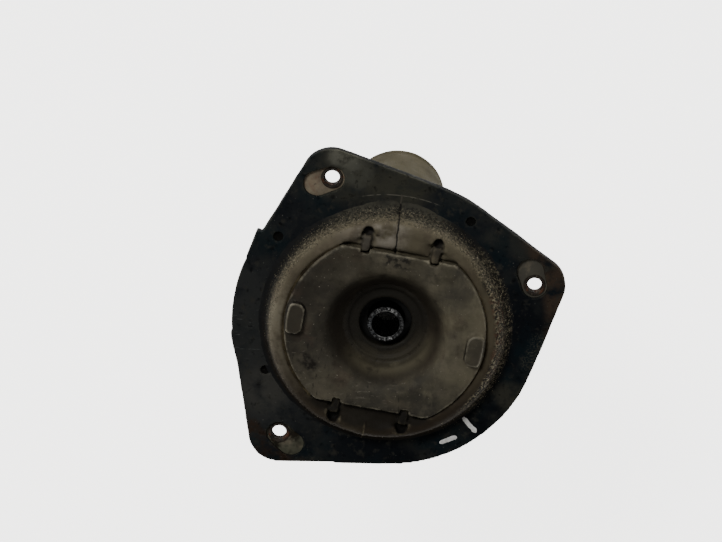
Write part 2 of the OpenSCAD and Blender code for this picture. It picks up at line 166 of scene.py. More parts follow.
floorLook = {"size": 8.0, "hex": "#fbfaf8", "glow": 3.6, "rough": 0.95, "specular": 0.1}


def placeFloor(look):
    half = look["size"] / 2
    level = cadBox[0][2]
    mesh = bpy.data.meshes.new("floor")
    corners = [(x * half, y * half, level) for x, y in ((-1, -1), (1, -1), (1, 1), (-1, 1))]
    mesh.from_pydata(corners, [], [(0, 1, 2, 3)])
    made = bpy.data.objects.new("floor", mesh)
    paper = bpy.data.materials.new("whiteSeamlessPaper")  # matt, so no reflection of the part
    paper.use_nodes = True
    shader = paper.node_tree.nodes["Principled BSDF"]
    shader.inputs["Base Color"].default_value = hexToLinear(look["hex"])
    shader.inputs["Roughness"].default_value = look["rough"]
    shader.inputs["Specular IOR Level"].default_value = look["specular"]
    shader.inputs["Emission Color"].default_value = hexToLinear(look["hex"])
    shader.inputs["Emission Strength"].default_value = look["glow"]
    mesh.materials.append(paper)
    bpy.context.scene.collection.objects.link(made)


placeFloor(floorLook)
print("light and floor placed")


lineLook = {"swayMm": 4, "detail": 3, "core": 0.3}  # a drawn line's sway, and the share of it that is full


# factors from 0 to 1: a band of radius or height, one side, round spots, along a line, or an edge mark
# (edges lighter from wear and painted highlight, creases darker from painted shade)
def zoneMask(tree, place, zone):
    spans = []  # a measure, where it gives 0, where it gives 1, and the way between
    measures = {}
    if {"radius", "toward", "spots"} & set(zone):
        oval = (1, zone.get("ovalY", 1), 0)
        flat = addNode(tree, vectorMath, "Vector", {"operation": "MULTIPLY", 1: oval}, {0: place})
    if "radius" in zone:
        measures["radius"] = addNode(tree, vectorMath, "Value", {"operation": "LENGTH"}, {0: flat})
    if "height" in zone:
        measures["height"] = addNode(tree, "ShaderNodeSeparateXYZ", "Z", {}, {0: place})
    for name, measure in measures.items():
        low, lowFull, highFull, high = [v * mm for v in zone[name]]
        spans += [(measure, low, lowFull, "SMOOTHSTEP"), (measure, high, highFull, "SMOOTHSTEP")]
    if "toward" in zone:
        heading, full, fade = [math.radians(v) for v in zone["toward"]]
        side = (math.cos(heading), math.sin(heading), 0)
        unit = addNode(tree, vectorMath, "Vector", {"operation": "NORMALIZE"}, {0: flat})
        facing = addNode(tree, vectorMath, "Value", {"operation": "DOT_PRODUCT", 1: side}, {0: unit})
        spans.append((facing, math.cos(fade), math.cos(full), "LINEAR"))
    if "spots" in zone:
        full, fade, *spots = zone["spots"]
        nearest = None
        for x, y in spots:
            spot = (x * mm, y * mm, 0)
            away = addNode(tree, vectorMath, "Value", {"operation": "DISTANCE", 1: spot}, {0: flat})
            if nearest is not None:
                away = addNode(tree, plainMath, 0, {"operation": "MINIMUM"}, {0: nearest, 1: away})
            nearest = away
        spans.append((nearest, fade * mm, full * mm, "SMOOTHSTEP"))
    if "line" in zone:
        (x0, y0), (x1, y1), half, wobble = zone["line"]
        across = Vector((y1 - y0, x0 - x1, 0)).normalized()
        offset = across.dot(Vector((x0, y0, 0))) * mm
        run = addNode(tree, vectorMath, "Value", {"operation": "DOT_PRODUCT", 1: across}, {0: place})
        pattern = {"Scale": 1 / (lineLook["swayMm"] * mm), "Detail": lineLook["detail"]}
        sway = addNode(tree, noiseTexture, "Fac", pattern, {"Vector": place})
        swing = {"operation": "MULTIPLY_ADD", 1: wobble * mm, 2: -offset - wobble * mm / 2}
        swayed = addNode(tree, plainMath, 0, swing, {0: sway})
        aside = addNode(tree, plainMath, 0, {"operation": "ADD"}, {0: run, 1: swayed})
        away = addNode(tree, plainMath, 0, {"operation": "ABSOLUTE"}, {0: aside})
        spans.append((away, half * mm, half * mm * lineLook["core"], "LINEAR"))
    if "edgeMark" in zone:
        mark, low, high = zone["edgeMark"]
        amount = addNode(tree, "ShaderNodeAttribute", "Fac", {"attribute_name": mark})
        spans.append((amount, low, high, "LINEAR"))
    factors = []
    for measure, start, full, way in spans:
        ends = {"interpolation_type": way, "From Min": start, "From Max": full}
        factors.append(addNode(tree, mapRange, "Result", ends, {"Value": measure}))
    return factors


# the noise behind every finish: its levels keep within noiseSpan nearly everywhere
mottleNoise = {"Detail": 6, "Roughness": 0.62}
coatNoise = {"Detail": 4, "Roughness": 0.6}
sheenNoise = {"Detail": 5}
reliefNoise = {"Detail": 4}
noiseSpan = (0.3, 0.7)


# base tones from a mottle, then coats of dust, grease, rust or wear, then roughness and relief
def makeFinish(name, look):
    finish = bpy.data.materials.new(name)
    finish.use_nodes = True
    tree = finish.node_tree
    shader = tree.nodes["Principled BSDF"]
    for socket, value in look["sockets"].items():
        shader.inputs[socket].default_value = value
    place = addNode(tree, "ShaderNodeTexCoord", "Object")
    pattern = {**mottleNoise, "Scale": 1 / (look["mottleMm"] * mm)}
    mottle = addNode(tree, noiseTexture, "Fac", pattern, {"Vector": place})
    tones = [(spot, hexToLinear(code)) for spot, code in look["tones"]]
    colour = addNode(tree, "ShaderNodeValToRGB", "Color", {}, {"Fac": mottle}, tones)
    for code, share, (size, low, high), zone in look.get("coats", []):
        drawn = place
        if "stretch" in zone:
            pull = {"operation": "MULTIPLY", 1: zone["stretch"]}
            drawn = addNode(tree, vectorMath, "Vector", pull, {0: place})
        pattern = {**coatNoise, "Scale": 1 / (size * mm)}
        pattern["Detail"] = zone.get("detail", coatNoise["Detail"])
        patch = addNode(tree, noiseTexture, "Fac", pattern, {"Vector": drawn})
        ends = {"From Min": low, "From Max": high, "To Max": share}
        amount = addNode(tree, mapRange, "Result", ends, {"Value": patch})
        for factor in zoneMask(tree, place, zone):
            amount = addNode(tree, plainMath, 0, {"operation": "MULTIPLY"}, {0: amount, 1: factor})
        layer = {"data_type": "RGBA", 7: hexToLinear(code)}  # 6 and 7 are the colours that are mixed
        colour = addNode(tree, "ShaderNodeMix", 2, layer, {0: amount, 6: colour})
    tree.links.new(colour, shader.inputs["Base Color"])
    pattern = {**sheenNoise, "Scale": 1 / (look["sheenMm"] * mm)}
    sheen = addNode(tree, noiseTexture, "Fac", pattern, {"Vector": place})
    ends = dict(zip(("From Min", "From Max", "To Min", "To Max"), (*noiseSpan, *look["rough"])))
    rough = addNode(tree, mapRange, "Result", ends, {"Value": sheen})
    tree.links.new(rough, shader.inputs["Roughness"])
    relief = None
    for size, depth in look["relief"]:
        pattern = {**reliefNoise, "Scale": 1 / (size * mm)}
        grain = addNode(tree, noiseTexture, "Fac", pattern, {"Vector": place})
        feeds = {"Height": grain} if relief is None else {"Height": grain, "Normal": relief}
        relief = addNode(tree, "ShaderNodeBump", "Normal", {"Distance": depth * mm}, feeds)
    tree.links.new(relief, shader.inputs["Normal"])
    return finish


seamLine = ((8.4, 71.8), (5.1, 41.7))  # mould parting of the rubber, on the +Y side
lowSeamLine = ((-10.6, -51.7), (-13.5, -68.3))  # and on the -Y side

# rib channels beside the disc's flats, in mm along and across the disc
channelLook = {"x": 18, "end": 52.5, "ribs": (44, 48), "turnDeg": -10.5}


def discSpots(look, reaches):
    turn = Matrix.Rotation(math.radians(look["turnDeg"]), 2)
    ways = [(side * look["x"], way) for side in (-1, 1) for way in (-1, 1)]
    return [tuple(turn @ Vector((x, way * reach))) for x, way in ways for reach in reaches]


pocketSpots = discSpots(channelLook, [channelLook["end"]])
ribSpots = discSpots(channelLook, channelLook["ribs"])

crown = {"height": (7.6, 10, 20, 21), "radius": (40, 45, 57.5, 60)}  # the dome's upper round

# a coat is its colour, its share, its patches (size in mm, first and full level of the noise) and its zone
finishLook = {}

# EPDM moulded over the flange: matt near-black with a cold tint, road dust along its edges
finishLook["mouldedEpdmSkin"] = {
    "sockets": {"IOR": 1.5, "Specular IOR Level": 0.01},
    "mottleMm": 30, "tones": [(0.3, "#14171a"), (0.5, "#1c1e20"), (0.7, "#262827")],
    "coats": [
        ("#0c0e11", 0.7, (40, 0.2, 0.5), {"toward": (-48, 50, 95)}),
        ("#2a2b28", 0.75, (30, 0.47, 0.66), {}),
        ("#101a1e", 0.7, (26, 0.5, 0.64), {}),
        ("#37362e", 0.85, (16, 0.28, 0.52), {"spots": (12, 24, (-16, 84), (6, 80))}),
        ("#626157", 0.7, (9, 0.3, 0.56), {"spots": (2, 7, (-25, 91), (-21, 90.5), (-17.5, 87.5))}),
        ("#45453e", 0.75, (9, 0.3, 0.56), {"spots": (4, 11, (-14, 82))}),
        ("#2c2d2c", 0.85, (14, 0.3, 0.5), {"spots": (16, 34, (-66, -40), (-72, -20), (-76, 10))}),
        ("#3a3027", 0.9, (8, 0.34, 0.56), {"radius": (80, 86, 120, 121), "toward": (12, 14, 26)}),
        ("#2e231b", 0.85, (8, 0.4, 0.6), {"radius": (86, 90, 120, 121), "toward": (226, 14, 26)}),
        ("#47463d", 0.38, (6, 0.44, 0.64), {"edgeMark": ("edgeWearAndHighlight", 0.1, 0.4)}),
        ("#34332c", 0.8, (9, 0.3, 0.5), {"spots": (4, 11, (64, -39.5), (70, -42))}),
        ("#45443b", 0.7, (0.9, 0.5, 0.62), {"spots": (2, 7, (80, -9), (78, -15), (75, -21))}),
        ("#5a5b59", 0.7, (1.1, 0.62, 0.69),
         {"stretch": (0.15, 1, 1), "spots": (7, 14, (-68, 0), (-69, -9))}),
        # painted shade: near black below the skin's top face, on its side walls and underside
        ("#121313", 0.93, (10, 0.1, 0.3), {"height": (-9, -8, -1.1, -0.5)}),
        # lighter dusty patch at (-64, -38), made lighter still as painted light where the lamps reach less
        ("#3b3a36", 0.75, (14, 0.25, 0.5), {"spots": (7, 18, (-64, -38))}),
        ("#31302b", 0.65, (5, 0.56, 0.68), {}),
        ("#08090a", 0.7, (4, 0.58, 0.7), {}),
        ("#5d5a51", 0.8, (3, 0.36, 0.55), {"radius": (70.75, 71, 71.2, 71.5), "toward": (84, 14, 17.5)}),
        ("#45413a", 0.85, (6, 0.2, 0.5),
         {"line": (*seamLine, 0.6, 1.2), "radius": (60, 61, 71, 72.5), "toward": (83, 20, 30)}),
        ("#6e6d66", 0.5, (1.3, 0.7, 0.77), {"detail": 2}),
    ],
    "sheenMm": 12, "rough": (0.5, 0.8), "relief": [(9, 0.14), (1.4, 0.06)],
}

# pressed steel under the skin: mill scale gone brown, with flash rust and dry dust
finishLook["rustedPressedSteel"] = {
    "sockets": {"Metallic": 0.08, "Specular IOR Level": 0.05},
    "mottleMm": 9, "tones": [(0.3, "#564f43"), (0.5, "#6d6455"), (0.7, "#807663")],
    "coats": [
        ("#63483a", 0.5, (7, 0.54, 0.7), {}),
        ("#2a2621", 0.7, (3, 0.6, 0.72), {}),
        ("#403f39", 0.9, (12, 0.24, 0.46), {"toward": (18, 10, 16)}),
        ("#434439", 0.88, (12, 0.26, 0.48), {"toward": (232, 10, 16)}),
        ("#17140f", 0.9, (7, 0.46, 0.58), {"toward": (226, 8, 12)}),
        ("#151616", 0.96, (20, 0, 0.2), {"height": (-12, -11, -2.8, -2.2)}),
    ],
    "sheenMm": 4, "rough": (0.55, 0.85), "relief": [(2.2, 0.08), (0.8, 0.04)],
}

# phosphated weld nut: dark grey crystals, rust where the coat has gone
finishLook["phosphatedWeldNut"] = {
    "sockets": {"Metallic": 0.2, "Specular IOR Level": 0.1},
    "mottleMm": 4, "tones": [(0.3, "#1e1b18"), (0.5, "#2f2a25"), (0.7, "#494138")],
    "coats": [
        ("#5a3521", 0.65, (3.5, 0.54, 0.68), {}),
        ("#8a8375", 0.5, (1.4, 0.62, 0.72), {}),
    ],
    "sheenMm": 3, "rough": (0.5, 0.8), "relief": [(1.2, 0.05)],
}

# natural rubber bonded to the flange: black, but caked with dry road dust on its crown; painted shade on its
# -Y side, in its opened seam, creases and pockets, and below the disc on the -Y side
finishLook["dustCakedBondedRubber"] = {
    "sockets": {"IOR": 1.52, "Specular IOR Level": 0.15},
    "mottleMm": 15, "tones": [(0.3, "#0e0f10"), (0.55, "#161717"), (0.75, "#201f1c")],
    "coats": [
        ("#565040", 0.96, (18, 0.1, 0.42),
         {"height": (0.3, 2.5, 20, 21), "radius": (30, 40, 58.8, 62), "ovalY": 0.968}),
        ("#807a6f", 0.85, (10, 0.38, 0.55), {**crown, "toward": (96, 9, 22)}),
        ("#4a4337", 0.6, (10, 0.36, 0.56), {**crown, "toward": (128, 14, 26)}),
        ("#665e4e", 0.55, (10, 0.48, 0.64), {**crown, "toward": (150, 40, 90)}),
        ("#777160", 0.8, (12, 0.2, 0.42),
         {"height": (6, 8, 20, 21), "radius": (53, 55, 59, 61), "toward": (184, 16, 34)}),
        ("#453e32", 0.65, (9, 0.48, 0.64), {"height": (5, 9, 20, 21)}),
        ("#3f3d34", 0.85, (16, 0.25, 0.5), {"radius": (60, 62, 66, 72), "toward": (86, 18, 34)}),
        ("#3b3426", 0.5, (24, 0.2, 0.5), {"toward": (-20, 30, 70), "height": (0, 2, 20, 21)}),
        # painted shade: darker brown towards -Y, the side turned from the light
        ("#261f17", 0.85, (30, 0.15, 0.45), {"toward": (-98, 45, 100), "height": (0, 2, 20, 21)}),
        ("#7d7660", 0.5, (1.1, 0.53, 0.62),
         {"radius": (56.5, 58.8, 61.2, 63.5), "toward": (75, 75, 128), "ovalY": 0.968}),
        ("#837c65", 0.85, (1.5, 0.5, 0.55), {"radius": (56, 58.5, 64, 66), "toward": (-4, 28, 48)}),
        ("#0e0d0b", 0.95, (1.2, 0.49, 0.54), {"radius": (55.5, 58, 65, 67), "toward": (-6, 30, 50)}),
        ("#181712", 0.8, (1.3, 0.46, 0.6),
         {"radius": (56.5, 60, 63, 65), "toward": (60, 90, 140), "ovalY": 0.968}),
        ("#54392b", 0.45, (2.5, 0.5, 0.62), {"radius": (55, 57, 61, 63), "toward": (-2, 16, 30)}),
        # painted shade: darker brown towards -Y, on the side turned from the light
        ("#261f15", 0.7, (20, 0.1, 0.4), {"toward": (-84, 16, 40), "height": (-1, 1, 20, 21)}),
        # painted shade: near black in the opened upper seam, in the creases and down in the rib pockets
        ("#0b0a08", 0.95, (10, 0, 0.2),
         {"line": (*seamLine, 0.65, 1.4), "radius": (40, 42, 66, 68), "toward": (83, 30, 40)}),
        ("#0a0907", 0.85, (10, 0.1, 0.35), {"edgeMark": ("creviceShade", 0.4, 0.85)}),
        ("#070605", 0.97, (10, 0, 0.2), {"spots": (2.2, 3.8, *pocketSpots)}),
        ("#2a2723", 0.75, (6, 0.2, 0.5), {"spots": (2.5, 4.5, *ribSpots)}),
        ("#5a5443", 0.65, (4, 0.36, 0.6),
         {"line": (*lowSeamLine, 0.5, 1.2), "radius": (55, 57, 66, 68), "toward": (-101, 20, 30)}),
        # painted shade: darker on the inner wall and blocks below the disc on the -Y side
        ("#0f0e0a", 0.72, (16, 0.1, 0.42),
         {"height": (-3, -2, 10.6, 11.6), "radius": (36, 38, 55, 57.5), "toward": (-100, 40, 70)}),
        # lighter crown edges: dust worn off, together with painted highlight
        ("#786f5a", 0.55, (5, 0.4, 0.62), {"edgeMark": ("edgeWearAndHighlight", 0.2, 0.7), "height": (6, 8, 20, 21)}),
    ],
    "sheenMm": 10, "rough": (0.72, 0.92), "relief": [(4, 0.12), (1.0, 0.08)],
}

# rubber faced stop disc: dry, dusty and rubbed, darker down in the nut well as painted shade; painted light
# on the well's -Y wall, painted highlights on the rim and pad edges, painted shade on the pads' sides and in
# creases
finishLook["dustyFacedStopDisc"] = {
    "sockets": {"IOR": 1.52, "Specular IOR Level": 0.16},
    "mottleMm": 24, "tones": [(0.28, "#302e28"), (0.5, "#433f35"), (0.7, "#534e40")],
    "coats": [
        ("#655f4f", 0.65, (22, 0.5, 0.66), {}),
        ("#29271f", 0.5, (18, 0.52, 0.68), {}),
        ("#1f1c18", 0.78, (26, 0.3, 0.56), {"toward": (166, 26, 52), "radius": (20, 28, 52, 53)}),
        ("#4b3d33", 0.5, (16, 0.54, 0.7), {}),
        ("#201e18", 0.55, (8, 0.56, 0.68), {}),
        ("#4f4a3d", 0.55, (10, 0.4, 0.6), {"toward": (-132, 16, 34), "radius": (28, 34, 52, 53)}),
        ("#5f5a48", 0.55, (14, 0.4, 0.62), {"toward": (-15, 45, 95), "radius": (26, 32, 52, 53)}),
        ("#2a271e", 0.55, (16, 0.34, 0.58), {"toward": (96, 30, 60), "radius": (26, 32, 52, 53)}),
        ("#14120f", 0.8, (2.4, 0.47, 0.56), {"toward": (81, 7, 13), "radius": (35, 38, 43, 44)}),
        ("#282622", 0.75, (18, 0.34, 0.58), {"toward": (-80, 22, 48), "radius": (26, 32, 52, 53)}),
        ("#66614f", 0.5, (7, 0.54, 0.66),
         {"stretch": (1, 0.5, 1), "toward": (-14, 36, 60), "radius": (24, 30, 52, 53)}),
        ("#6b665a", 0.55, (1.2, 0.62, 0.69),
         {"stretch": (0.22, 1, 1), "toward": (-118, 42, 66), "radius": (27, 31, 51, 52)}),
        ("#171511", 0.6, (1.6, 0.62, 0.68),
         {"stretch": (1, 0.3, 1), "toward": (-128, 40, 64), "radius": (27, 31, 51, 52)}),
        ("#948d7d", 0.65, (1.3, 0.7, 0.76), {"detail": 2}),
        ("#14110d", 0.9, (3, 0.4, 0.55), {"spots": (2, 5, (-38.5, -18.2), (-41.5, -15))}),
        # painted shade in the nut well: darker down the well, near black at its floor
        ("#221d16", 0.85, (14, 0.1, 0.4), {"radius": (-1, 0, 25, 37), "height": (-20, -19, 5, 12.2)}),
        # painted light on the well's -Y wall, its ridge and its foot, lighter where the light falls
        ("#565140", 0.8, (10, 0.26, 0.46),
         {"radius": (16, 19, 24, 29), "height": (-20, -19, 8, 11), "toward": (-78, 35, 75)}),
        ("#191712", 0.9, (12, 0.1, 0.4), {"radius": (-1, 0, 20, 24), "height": (-20, -19, -2, 1)}),
        ("#4b4738", 0.75, (7, 0.3, 0.55),
         {"edgeMark": ("edgeWearAndHighlight", 0.08, 0.35), "radius": (14, 17, 22, 24), "toward": (-88, 40, 70)}),
        ("#302c22", 0.85, (7, 0.3, 0.5),
         {"radius": (15, 17, 23, 26), "height": (-20, -19, 0, 3), "toward": (-80, 30, 80)}),
        # painted highlight: a light line along the disc's rim edge
        ("#8f8875", 0.65, (5, 0.4, 0.6),
         {"edgeMark": ("edgeWearAndHighlight", 0.18, 0.52), "height": (10, 11.2, 12.8, 13.2)}),
        # painted shade: darker side walls of the pads
        ("#17140f", 0.85, (7, 0.15, 0.4),
         {"height": (12.8, 13.3, 15.1, 15.6), "toward": (180, 170, 179)}),
        ("#37332a", 0.75, (6, 0.2, 0.45), {"height": (15.2, 15.6, 20, 21)}),
        # painted highlight: light lines on the pads' top edges
        ("#8d8776", 0.7, (5, 0.34, 0.54),
         {"edgeMark": ("edgeWearAndHighlight", 0.2, 0.6), "height": (15.2, 15.6, 20, 21)}),
        # painted shade: darker in creases, as at the foot of each pad
        ("#0b0a08", 0.8, (8, 0.2, 0.45), {"edgeMark": ("creviceShade", 0.2, 0.6)}),
    ],
    "sheenMm": 14, "rough": (0.58, 0.85), "relief": [(6, 0.14), (1.1, 0.06)],
}

# turned steel tube, dark grey with no gloss left; painted shade: black below its top end, down the bore
finishLook["sleeveSteelShadedBore"] = {
    "sockets": {"Specular IOR Level": 0.02},
    "mottleMm": 1.6, "tones": [(0.4, "#161616"), (0.55, "#303030"), (0.68, "#606060")],
    # painted shade: black below the top end, down the bore
    "coats": [("#010101", 1.0, (8, 0, 0.1), {"height": (-40, -39, -0.7, -0.2)})],
    "sheenMm": 2, "rough": (0.8, 0.95), "relief": [(0.9, 0.05)],
}

# serrated end of the tube, rubbed bright by the rod nut
finishLook["rubbedSleeveSteel"] = {
    "sockets": {"Metallic": 0.4, "Specular IOR Level": 0.3},
    "mottleMm": 1.5, "tones": [(0.38, "#2e2e2e"), (0.5, "#7b7b7a"), (0.64, "#c4c4c2")],
    "coats": [
        # painted reflection: darker towards +X and -X, so the ring is brightest towards ±Y, where the
        # serrations catch the light
        ("#25282b", 0.95, (2, 0.2, 0.5), {"toward": (180, 40, 65)}),
        ("#1b1c1d", 0.95, (2, 0.2, 0.5), {"toward": (-5, 40, 65)}),
    ],
    "sheenMm": 2, "rough": (0.35, 0.6), "relief": [(0.9, 0.05)],
}

# deep drawn core cup, zinc phosphate and oil: an even dark grey, near black at its middle as painted shade
finishLook["phosphatedCorePressing"] = {
    "sockets": {"Metallic": 0.6},
    "mottleMm": 12, "tones": [(0.3, "#3a3936"), (0.7, "#565350")],
    "coats": [
        ("#513222", 0.5, (7, 0.58, 0.72), {}),
        # painted shade: near black at the middle, below the sleeve's top
        ("#070706", 0.97, (10, 0, 0.2), {"radius": (-1, 0, 15, 17), "height": (-11, -10, 0, 1)}),
    ],
    "sheenMm": 6, "rough": (0.45, 0.7), "relief": [(1.5, 0.03)],
}

# glass filled nylon: satin black with faint flow marks and a film of dust
finishLook["mouldedGlassNylon"] = {
    "sockets": {"IOR": 1.53, "Specular IOR Level": 0.06},
    "mottleMm": 18, "tones": [(0.3, "#101112"), (0.7, "#1a1b1c")],
    "coats": [
        ("#35322a", 0.45, (30, 0.5, 0.74), {}),
        ("#6f6a5c", 0.4, (1.5, 0.66, 0.75), {}),
    ],
    "sheenMm": 9, "rough": (0.5, 0.72), "relief": [(1.6, 0.03)],
}

# ground bearing steel with a film of grease
finishLook["groundRaceSteel"] = {
    "sockets": {"Metallic": 1.0},
    "mottleMm": 8, "tones": [(0.3, "#8f8c86"), (0.7, "#b3b0a9")],
    "coats": [("#6a5526", 0.4, (9, 0.45, 0.7), {})],
    "sheenMm": 3, "rough": (0.18, 0.34), "relief": [(0.8, 0.01)],
}

# polished ball steel: mirror bright
finishLook["polishedBallSteel"] = {
    "sockets": {"Metallic": 1.0},
    "mottleMm": 3, "tones": [(0.3, "#bdbcb8"), (0.7, "#d2d1cd")],
    "coats": [("#7b6633", 0.3, (3, 0.5, 0.7), {})],
    "sheenMm": 2, "rough": (0.06, 0.16), "relief": [(0.8, 0.004)],
}

# natural nylon cage: waxy cream
finishLook["mouldedNaturalNylon"] = {
    "sockets": {"IOR": 1.53, "Subsurface Weight": 0.08},
    "mottleMm": 14, "tones": [(0.3, "#c9c0a6"), (0.7, "#dcd5bf")],
    "coats": [("#8a7a4c", 0.4, (8, 0.5, 0.7), {})],
    "sheenMm": 6, "rough": (0.38, 0.55), "relief": [(2, 0.02)],
}

# nitrile seal lips: plain satin black
finishLook["mouldedNitrileSeal"] = {
    "sockets": {"IOR": 1.52, "Specular IOR Level": 0.08},
    "mottleMm": 9, "tones": [(0.3, "#18181a"), (0.7, "#242527")],
    "coats": [("#4b463b", 0.5, (8, 0.52, 0.72), {})],
    "sheenMm": 5, "rough": (0.45, 0.7), "relief": [(1.4, 0.03)],
}

# spring pad rubber: matt black, with the dust that the spring's first coil traps
finishLook["mouldedPadRubber"] = {
    "sockets": {"IOR": 1.52, "Specular IOR Level": 0.06},
    "mottleMm": 16, "tones": [(0.3, "#19191a"), (0.7, "#262624")],
    "coats": [("#534c3e", 0.7, (15, 0.46, 0.7), {})],
    "sheenMm": 8, "rough": (0.62, 0.86), "relief": [(3, 0.06), (1.1, 0.04)],
}

# microcellular polyurethane: straw, matt, with a fine open skin
finishLook["foamedStopUrethane"] = {
    "sockets": {"IOR": 1.5, "Specular IOR Level": 0.3, "Subsurface Weight": 0.05},
    "mottleMm": 12, "tones": [(0.3, "#a8945c"), (0.7, "#c4b079")],
    "coats": [
        ("#5e4d2e", 0.7, (14, 0.52, 0.72), {}),
        # painted shade: near black inside the bore
        ("#0d0b08", 0.96, (10, 0, 0.2), {"radius": (-1, 0, 11.6, 12.5)}),
        ("#5a4a2b", 0.6, (1.2, 0.6, 0.68), {}),
    ],
    "sheenMm": 6, "rough": (0.7, 0.9), "relief": [(1.2, 0.09)],
}

# blow moulded boot: black rubber gone tan with dry mud, with painted shade down in its folds and painted
# highlight on their crests
finishLook["blownBootRubber"] = {
    "sockets": {"IOR": 1.5, "Specular IOR Level": 0.03},
    "mottleMm": 30, "tones": [(0.28, "#302c20"), (0.5, "#363225"), (0.72, "#3d382b")],
    "coats": [
        ("#29261b", 0.4, (14, 0.56, 0.72), {}),
        ("#433e2e", 0.5, (22, 0.52, 0.7), {}),
        # painted shade in the folds above the cuff
        ("#12100d", 0.85, (10, 0.25, 0.55),
         {"edgeMark": ("creviceShade", 0.1, 0.45), "height": (-136, -132, 0, 1)}),
        # painted highlight on the fold crests, with some wear
        ("#3d3625", 0.5, (7, 0.4, 0.65), {"edgeMark": ("edgeWearAndHighlight", 0.15, 0.5)}),
        ("#1d1a16", 0.7, (1.6, 0.64, 0.72), {}),
    ],
    "sheenMm": 14, "rough": (0.66, 0.88), "relief": [(7, 0.1), (1.2, 0.05)],
}

# dry road dust packed in a gap: brown, matt and lumpy
finishLook["packedRoadDust"] = {
    "sockets": {"IOR": 1.45, "Specular IOR Level": 0.05},
    "mottleMm": 6, "tones": [(0.3, "#1f1a13"), (0.5, "#342e21"), (0.7, "#4c4433")],
    "sheenMm": 3, "rough": (0.85, 0.95), "relief": [(0.9, 0.1)],
}

# almost black, with no gloss: painted shade filling the bottoms of the pin holes
finishLook["packedWetDirt"] = {
    "sockets": {"IOR": 1.45, "Specular IOR Level": 0.1},
    "mottleMm": 2, "tones": [(0.3, "#060605"), (0.6, "#0d0c0a"), (0.75, "#1b1915")],
    "sheenMm": 3, "rough": (0.8, 0.95), "relief": [(0.9, 0.1)],
}

# white paint pen on rubber: thick, chalky, with the black showing through its thin spots
finishLook["brushedPenPaint"] = {
    "sockets": {"IOR": 1.48, "Specular IOR Level": 0.3},
    "mottleMm": 3, "tones": [(0.3, "#b9b7b3"), (0.6, "#e2e0dc")],
    "coats": [("#4a4a49", 0.7, (1.6, 0.62, 0.72), {})],
    "sheenMm": 3, "rough": (0.5, 0.7), "relief": [(1.0, 0.05)],
}
finishes = {name: makeFinish(name, look) for name, look in finishLook.items()}
print("finishes made:", len(finishes))


# road grit: every grain has its own tone
def makeGritFinish(look):
    finish = bpy.data.materials.new("drySandGrit")
    finish.use_nodes = True
    tree = finish.node_tree
    shader = tree.nodes["Principled BSDF"]
    chance = addNode(tree, "ShaderNodeNewGeometry", "Random Per Island")
    tones = [(spot, hexToLinear(code)) for spot, code in look["tones"]]
    colour = addNode(tree, "ShaderNodeValToRGB", "Color", {}, {"Fac": chance}, tones)
    tree.links.new(colour, shader.inputs["Base Color"])
    shader.inputs["Roughness"].default_value = look["rough"]
    shader.inputs["Specular IOR Level"].default_value = look["specular"]
    return finish


# mesh with its faces turned outwards
def closedMesh(name, points, faces):
    mesh = bpy.data.meshes.new(name)
    mesh.from_pydata(points, [], faces)
    made = bmesh.new()
    made.from_mesh(mesh)
    bmesh.ops.recalc_face_normals(made, faces=made.faces)
    made.to_mesh(mesh)
    made.free()
    return mesh


# faces between the rings of a swept profile, which ends in caps or meets its own start
def sweptFaces(start, rings, rows, meets=False):
    faces = []
    for i in range(rings if meets else rings - 1):
        a, b = start + i * rows, start + (i + 1) % rings * rows
        faces += [(a + k, b + k, b + (k + 1) % rows, a + (k + 1) % rows) for k in range(rows)]
    if not meets:
        last = start + (rings - 1) * rows
        faces += [tuple(range(start, start + rows)), tuple(range(last, last + rows))]
    return faces


softEdge = 60  # degrees above which an edge is drawn sharp
hardEdge = 20


def addPiece(name, mesh, body, finish, sharpDeg=180):
    piece = bpy.data.objects.new(name, mesh)
    bpy.context.scene.collection.objects.link(piece)
    mesh.materials.clear()
    mesh.materials.append(finish)
    mesh.shade_smooth()
    mesh.set_sharp_from_angle(angle=math.radians(sharpDeg))
    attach(piece, body)
    return piece


def addSolid(name, points, faces, finish, sharpDeg=softEdge):
    return addPiece(name, closedMesh(name, points, faces), "mount", finish, sharpDeg)


def meshPoints(mesh):
    place = np.empty(len(mesh.vertices) * 3)
    facing = np.empty(len(mesh.vertices) * 3)
    mesh.vertices.foreach_get("co", place)
    mesh.vertices.foreach_get("normal", facing)
    return place.reshape(-1, 3), facing.reshape(-1, 3)


# both ends of every edge, and how many edges meet at each point
def meshLinks(mesh):
    ends = np.empty(len(mesh.edges) * 2, int)
    mesh.edges.foreach_get("vertices", ends)
    a, b = ends[0::2], ends[1::2]
    count = len(mesh.vertices)
    return a, b, np.maximum(np.bincount(a, minlength=count) + np.bincount(b, minlength=count), 1)


# mean of each point's neighbours
def nearMean(values, a, b, links):
    return (np.bincount(a, values[b], len(links)) + np.bincount(b, values[a], len(links))) / links


evenShare = 0.6  # how far a round of evening out goes
leastEdge = 1e-9


# convex edges and creases of a dense mesh, kept as two marks that the finishes read: convex edges for wear
# and painted highlight, creases for painted shade
def markEdges(mesh, look):
    place, facing = meshPoints(mesh)
    a, b, links = meshLinks(mesh)
    step = place[b] - place[a]
    length = np.maximum(np.linalg.norm(step, axis=1), leastEdge)
    bendA = -(facing[a] * step).sum(1) / length
    bendB = (facing[b] * step).sum(1) / length
    bend = (np.bincount(a, bendA, len(links)) + np.bincount(b, bendB, len(links))) / links
    for _ in range(look["spread"]):
        bend += evenShare * (nearMean(bend, a, b, links) - bend)
    for name, values in (("edgeWearAndHighlight", bend), ("creviceShade", -bend)):
        mark = mesh.attributes.new(name, "FLOAT", "POINT")
        mark.data.foreach_set("value", np.clip(values * look["gain"], 0, 1).astype(np.float32))


